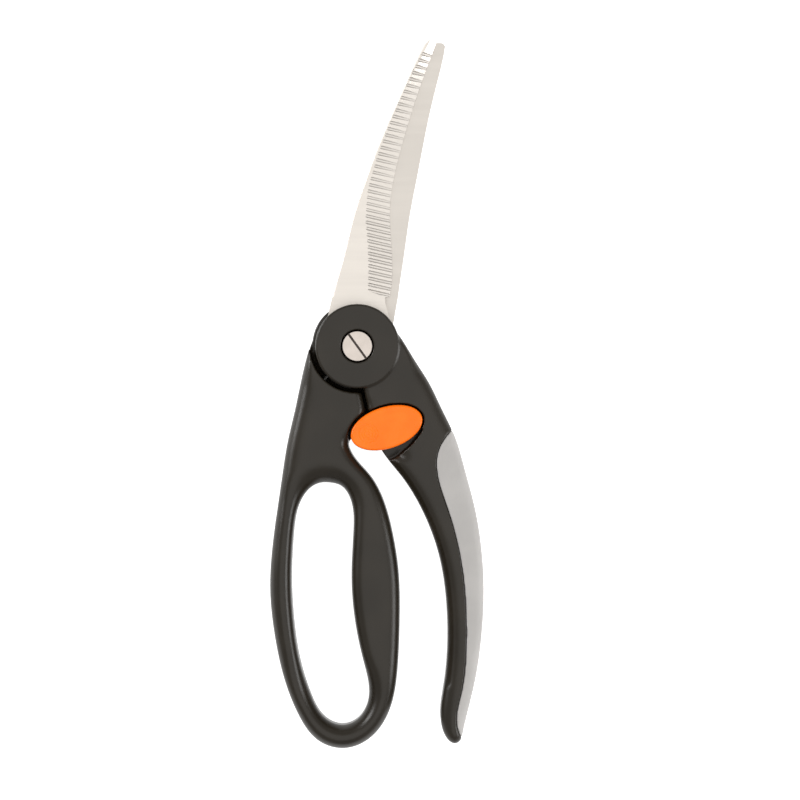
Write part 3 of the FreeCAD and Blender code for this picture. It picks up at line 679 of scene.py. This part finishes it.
# %% The outline of lever and grip
LEVER_WALL_LEVEL = 15.4 * MM
SHARED = 0.9 * MM
WELL_CLEAR = 1.5 * MM
FLANGE_EDGE = 15.6 * MM
lever_piece = even_skin("lever_handle_moulding", "lever_handle", FINE)
grip_piece = even_skin("soft_grip_moulding", "soft_grip", FINE)
lever_walls, walls_facing = wall_points(lever_piece, LEVER_WALL_LEVEL)
grip_walls, _ = wall_points(grip_piece, LEVER_WALL_LEVEL)
unshared = distance_to(lever_walls, grip_walls) > SHARED
lever_only = lever_walls[unshared]
lever_facing = walls_facing[unshared]
grip_only = grip_walls[distance_to(grip_walls, lever_walls) > SHARED]
past_low = lever_only[:, :2] > button_low[:2] - WELL_CLEAR
before_high = lever_only[:, :2] < button_high[:2] + WELL_CLEAR
inside_well = np.all(past_low & before_high, axis=1)
off_boss = np.hypot(lever_only[:, 0], lever_only[:, 1]) > FLANGE_EDGE
outline = np.vstack([lever_only[~inside_well & off_boss], grip_only])
print("outline of lever and grip:", len(outline), "points")

# %% [markdown]
# Along the side that faces the loop, the lever's edge also gets a narrow chamfer, where a straight drop
# is added to the roll.

# %% Shape the lever and its grip
INNER_START = -42.0 * MM
INNER_END = -118.0 * MM
FACES_LOOP = -0.3
LEVER_REACH = 6.0 * MM
LEVER_DROP = 0.24
CHAMFER = 2.4 * MM
CHAMFER_DROP = 0.18
LEVER_ROUNDS = 10
on_length = (lever_only[:, 1] < INNER_START) & (lever_only[:, 1] > INNER_END)
inner = lever_only[on_length & (lever_facing[:, 0] < FACES_LOOP) & ~inside_well]
for piece in (lever_piece, grip_piece):
    skin = points_of(piece)
    share = 1 - away_from_pivot(skin) * (1 - roll(distance_to(skin, outline), LEVER_REACH, LEVER_DROP))
    share *= 1 - CHAMFER_DROP * (1 - np.clip(distance_to(skin, inner) / CHAMFER, 0, 1))
    skin[:, 2] = PIVOT_LEVEL + (skin[:, 2] - PIVOT_LEVEL) * share
    move_points(piece, skin)
    soften(piece, LEVER_ROUNDS, near_pivot(skin))
    print(piece.name + ":", len(piece.data.polygons), "faces")

# %% Put lever and grip in place
lever_piece.data.materials.append(BLACK)
grip_piece.data.materials.append(GREY)
mouldings = ((lever_piece, "lever_handle", "black_plastic"), (grip_piece, "soft_grip", "grey_rubber"))
for piece, node, slot in mouldings:
    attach(piece, "lever_half")
    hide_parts(node)
print("lever half:", ", ".join(piece.name for piece, _, _ in mouldings))

# %% [markdown]
# ## Thumb button
# The button is an oval cap with a low dome. Fine rings under the thumb stop it slipping. It grows from a
# small circle at the rings' centre: each extrusion is one more ring, and the rings turn from circles into
# the oval as they reach the edge. The last extrusions go down the side and close the back.

# %% The button's measures
BUTTON_TILT = math.radians(18.0)
HALF_LENGTH = 13.0 * MM
HALF_WIDTH = 7.3 * MM
THUMB_OFFSET = 6.85 * MM
ROUND_STEPS = 128
RING_PITCH = 0.95 * MM
RING_REACH = 4.3 * MM
RING_DEPTH = 0.11 * MM
RING_STEPS = 27
OVAL_STEPS = 12
EDGE_ROUND = 0.8 * MM
EDGE_STEPS = 5
DOME = 0.45 * MM
BACK_CHAMFER = 0.3 * MM
SMOOTH_ANGLE = math.radians(40.0)
button_top = button_high[2]
button_back = button_low[2]
turns = np.linspace(0, 2 * math.pi, ROUND_STEPS, endpoint=False)
print("button height in mm:", round((button_top - button_back) / MM, 2))

# %% [markdown]
# The oval is known from its own centre, and the rings grow from the thumb's. So the distance from one to
# the other is worked out for each direction, as where a ray meets an ellipse.

# %% Rings of the button, from the thumb outwards
def oval_reach(margin):
    """Distance from the thumb centre to the oval, for each direction, a margin inside its edge."""
    half_long = HALF_LENGTH - margin
    half_wide = HALF_WIDTH - margin
    ray_x = np.cos(turns)
    ray_y = np.sin(turns)
    square = (ray_x / half_long) ** 2 + (ray_y / half_wide) ** 2
    linear = -2 * THUMB_OFFSET * ray_x / half_long ** 2
    constant = (THUMB_OFFSET / half_long) ** 2 - 1
    return (-linear + np.sqrt(linear ** 2 - 4 * square * constant)) / (2 * square)


def ring_at(reach, height):
    """One ring of points round the thumb centre, tilted and domed as the button is."""
    along = -THUMB_OFFSET + reach * np.cos(turns)
    aside = reach * np.sin(turns)
    dome = DOME * ((along / HALF_LENGTH) ** 2 + (aside / HALF_WIDTH) ** 2)
    x = button_centre[0] + along * math.cos(BUTTON_TILT) - aside * math.sin(BUTTON_TILT)
    y = button_centre[1] + along * math.sin(BUTTON_TILT) + aside * math.cos(BUTTON_TILT)
    return np.column_stack([x, y, height - dome])


def button_rings():
    """Every ring: the ripples, the way out to the oval, the rounded edge and the back."""
    edge = oval_reach(EDGE_ROUND)
    for step in range(1, RING_STEPS + 1):
        reach = RING_REACH * step / RING_STEPS
        fade = 1 - smooth_step(reach, RING_REACH - RING_PITCH, RING_REACH)
        ripple = RING_DEPTH * fade * (0.5 - 0.5 * math.cos(2 * math.pi * reach / RING_PITCH))
        yield ring_at(np.full(ROUND_STEPS, reach), button_top - ripple)
    for step in range(1, OVAL_STEPS + 1):
        share = step / OVAL_STEPS
        yield ring_at(RING_REACH + (edge - RING_REACH) * share, button_top)
    for step in range(1, EDGE_STEPS + 1):
        angle = math.pi / 2 * step / EDGE_STEPS
        margin = EDGE_ROUND * (1 - math.sin(angle))
        yield ring_at(oval_reach(margin), button_top - EDGE_ROUND * (1 - math.cos(angle)))
    side = ring_at(oval_reach(0), button_back)
    side[:, 2] = button_back + BACK_CHAMFER
    yield side
    back = ring_at(oval_reach(BACK_CHAMFER), button_back)
    back[:, 2] = button_back
    yield back


rings = list(button_rings())
print("rings:", len(rings))

# %% Extrude one ring for each
bpy.ops.object.select_all(action="DESELECT")
bpy.ops.mesh.primitive_circle_add(vertices=ROUND_STEPS, radius=RING_REACH / RING_STEPS, fill_type="NGON")
button = bpy.context.active_object
button.name = "thumb_button"
bpy.ops.object.mode_set(mode="EDIT")
bpy.ops.mesh.select_all(action="SELECT")
bpy.ops.mesh.poke()
bpy.ops.mesh.select_mode(type="EDGE")
bpy.ops.mesh.select_all(action="DESELECT")
bpy.ops.mesh.select_non_manifold()
for _ in rings[1:]:
    bpy.ops.mesh.extrude_edges_move()
bpy.ops.mesh.edge_face_add()
bpy.ops.object.mode_set(mode="OBJECT")
print("points before they are placed:", len(button.data.vertices))

# %% [markdown]
# The extrusions still lie on the first circle. Their points come ring by ring, and the order within a
# ring isn't relied on: each point is given its place by the direction in which it stands.

# %% Move each ring to its place
def steps_round(points):
    """How many steps round its ring each point stands."""
    angle = np.arctan2(points[:, 1], points[:, 0]) % (2 * math.pi)
    return np.rint(angle / (2 * math.pi) * ROUND_STEPS).astype(int) % ROUND_STEPS


unplaced = points_of(button)
placed = np.empty_like(unplaced)
placed[:ROUND_STEPS] = rings[0][steps_round(unplaced[:ROUND_STEPS])]
placed[ROUND_STEPS] = rings[0].mean(axis=0)
start = ROUND_STEPS + 1
for ring in rings[1:]:
    end = start + ROUND_STEPS
    placed[start:end] = ring[steps_round(unplaced[start:end])]
    start = end
move_points(button, placed)
pick(button)
bpy.ops.object.mode_set(mode="EDIT")
bpy.ops.mesh.select_all(action="SELECT")
bpy.ops.mesh.normals_make_consistent(inside=False)
bpy.ops.object.mode_set(mode="OBJECT")
bpy.ops.object.shade_smooth_by_angle(angle=SMOOTH_ANGLE)
button.data.materials.append(ORANGE)
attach(button, "lock")
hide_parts("lock_button")
print("button:", len(button.data.polygons), "faces")

# %% [markdown]
# ## Opening spring
# Real spring wire winds up as the shears close. The wire is one curve: a straight leg in the loop
# handle, the coil, and a leg in the lever.

# %% The spring's line
WIRE_RADIUS = 0.65 * MM
COIL_RADIUS = 10.55 * MM
TURNS = 2.25
FIRST_ANGLE = math.radians(-135.0)
STEPS_PER_TURN = 48
LEG_STEPS = 6
LEG_INSET = 0.7 * MM
LEG_OUT = 19.4 * MM
ANCHOR_OUT = 17.3 * MM
spring_low, spring_high = (np.array(corner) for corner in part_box("opening_spring"))
wire_low = spring_low[2] + WIRE_RADIUS
wire_high = spring_high[2] - WIRE_RADIUS


def at(radius, angle, height):
    """A point at a distance from the pivot axis, in a direction, at a height."""
    return (radius * math.cos(angle), radius * math.sin(angle), height)


def spring_line():
    """Points along the wire's middle: leg in, coil up, leg out."""
    coil_angle = 2 * math.pi * TURNS
    leg_end = COIL_RADIUS + LEG_INSET
    line = []
    for step in range(LEG_STEPS + 1):
        line.append(at(LEG_OUT + (leg_end - LEG_OUT) * step / LEG_STEPS, FIRST_ANGLE, wire_low))
    count = int(TURNS * STEPS_PER_TURN)
    for step in range(1, count):
        share = step / count
        height = wire_low + (wire_high - wire_low) * share
        line.append(at(COIL_RADIUS, FIRST_ANGLE + coil_angle * share, height))
    for step in range(LEG_STEPS):
        reach = leg_end + (ANCHOR_OUT - COIL_RADIUS) * step / LEG_STEPS
        line.append(at(reach, FIRST_ANGLE + coil_angle, wire_high))
    return line


line = spring_line()
print("points on the spring's line:", len(line))

# %% Wind the spring
curve = bpy.data.curves.new("spring_line", "CURVE")
curve.dimensions = "3D"
curve.bevel_depth = WIRE_RADIUS
curve.bevel_resolution = 4
curve.use_fill_caps = True
path = curve.splines.new("POLY")
path.points.add(len(line) - 1)
for point, place in zip(path.points, line):
    point.co = (*place, 1.0)
spring = bpy.data.objects.new("opening_spring_wire", curve)
bpy.context.collection.objects.link(spring)
pick(spring)
bpy.ops.object.convert(target="MESH")
spring = bpy.context.active_object
for polygon in spring.data.polygons:
    polygon.use_smooth = True
spring.data.materials.append(WIRE)
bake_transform(spring)
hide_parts("opening_spring")
print("spring:", len(spring.data.polygons), "faces")

# %% [markdown]
# ## Visual size
# The visual model is meant to fill the same box as the CAD model, so its box is printed, as the CAD box was
# at the start.

# %% Print the visual box
visual_box = [list(corner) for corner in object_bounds()]
print("visual box in mm:", [[round(v / MM, 1) for v in corner] for corner in visual_box])
